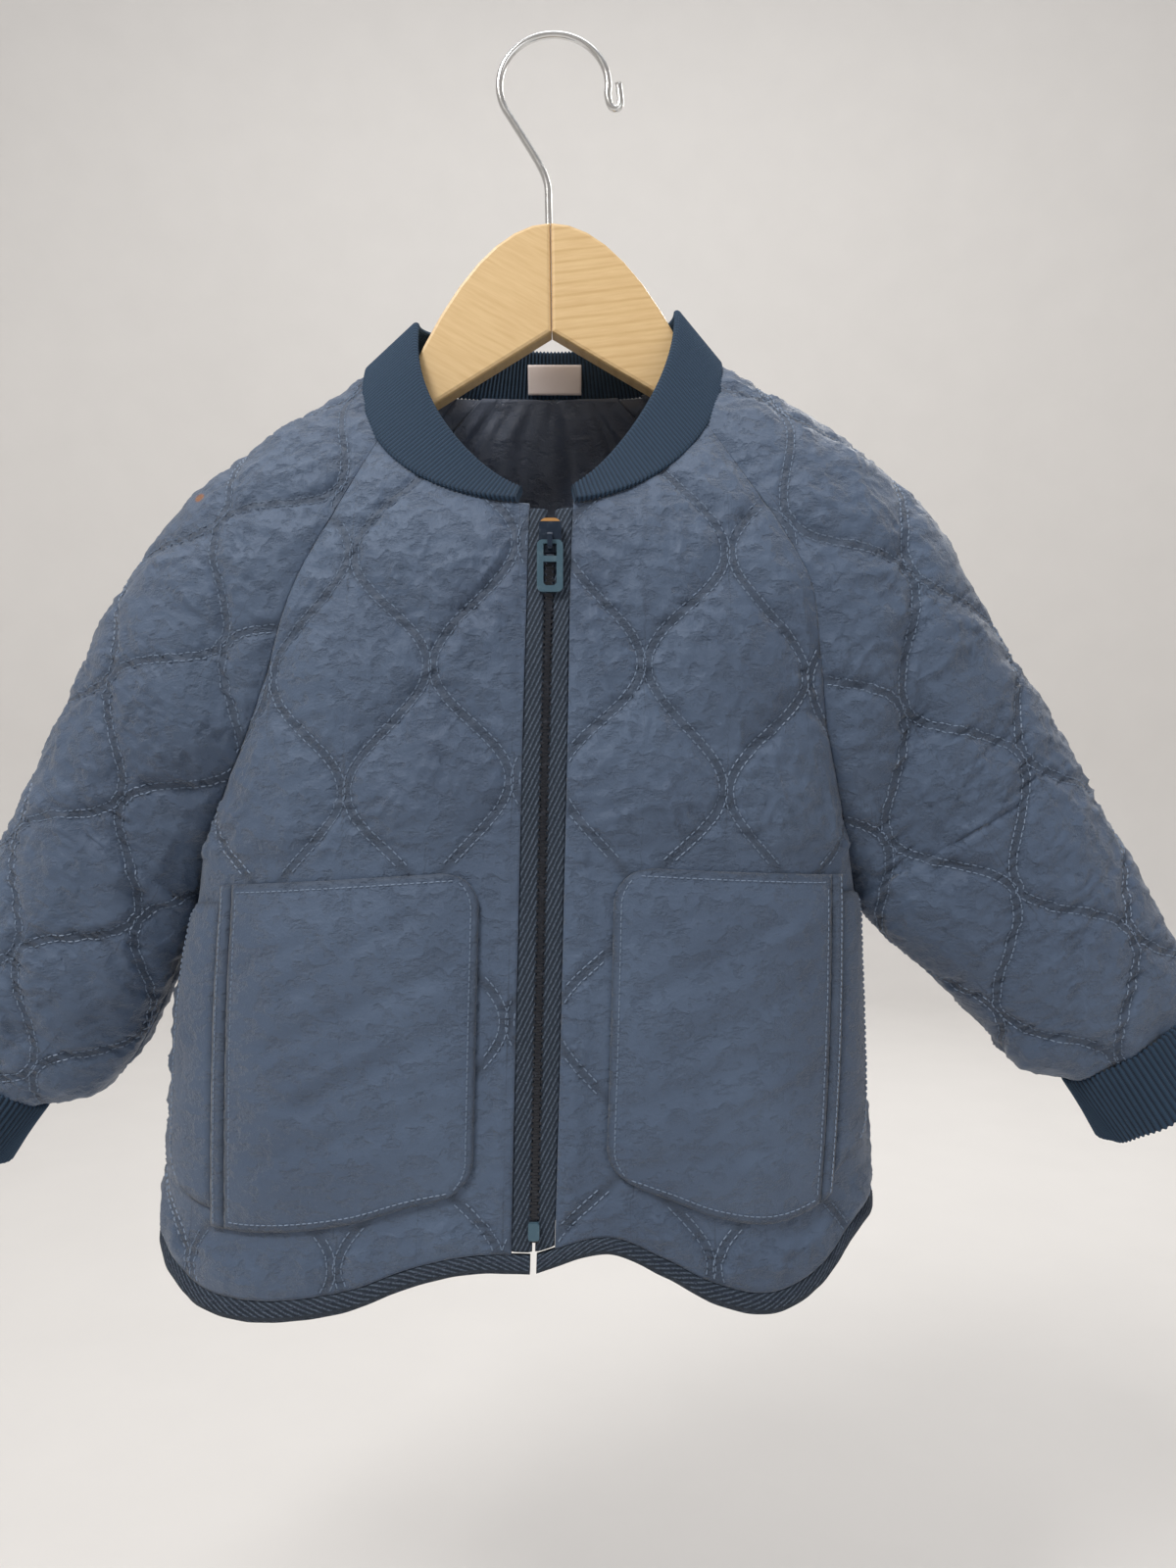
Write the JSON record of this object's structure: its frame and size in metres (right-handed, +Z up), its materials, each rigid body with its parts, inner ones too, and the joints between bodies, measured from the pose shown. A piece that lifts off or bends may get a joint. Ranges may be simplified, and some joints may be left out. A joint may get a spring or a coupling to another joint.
{
  "type": "quilted jacket on a wooden hanger",
  "caption": "Child's quilted raglan jacket with a rib collar and cuffs, zip front and patch pockets, hanging on a wooden hanger with a wire hook.",
  "frame": {"origin": "the inside top of the hanger's hook, where the hanger is held", "axes": "+Z up, the front of the jacket faces -Y, +X to the right as seen from the front; the hanger lies in the XZ plane"},
  "size_m": [0.6057, 0.1225, 0.5632],
  "materials": {
    "shell": "dusty blue quilted cotton, matt",
    "rib": "navy rib knit, matt",
    "twill": "dark navy twill tape, matt",
    "lining": "dark slate lining, slight sheen",
    "label": "pale woven label",
    "wood": "clear satin lacquer on pale wood",
    "wire": "bright plated wire",
    "slider": "dark navy painted metal",
    "pull": "dusty teal painted metal"
  },
  "bodies": {
    "garment": {"front_left": "shell", "front_right": "shell", "back": "shell", "sleeve_left": "shell", "sleeve_right": "shell", "pocket_left": "shell", "pocket_left_welt": "shell", "pocket_left_side": "shell", "pocket_right": "shell", "pocket_right_welt": "shell", "pocket_right_side": "shell", "collar": "rib", "cuff_left": "rib", "cuff_right": "rib", "hem_front_left": "twill", "hem_front_right": "twill", "hem_back": "twill", "zip_tape_left": "twill", "zip_tape_right": "twill", "zip_slider": "slider", "zip_box": "pull", "lining_back": "lining", "care_label": "label", "hanger_left": "wood", "hanger_right": "wood", "hanger_hook": "wire"},
    "pull_tab": {"zip_pull": "pull"}
  },
  "joints": [
    {"name": "zip_pull_tab", "type": "hinge", "parent": "garment", "child": "pull_tab", "pos_m": [0.00244, -0.05958, -0.2405], "axis": [-1, 0, 0], "range_deg": [0, 150]}
  ]
}
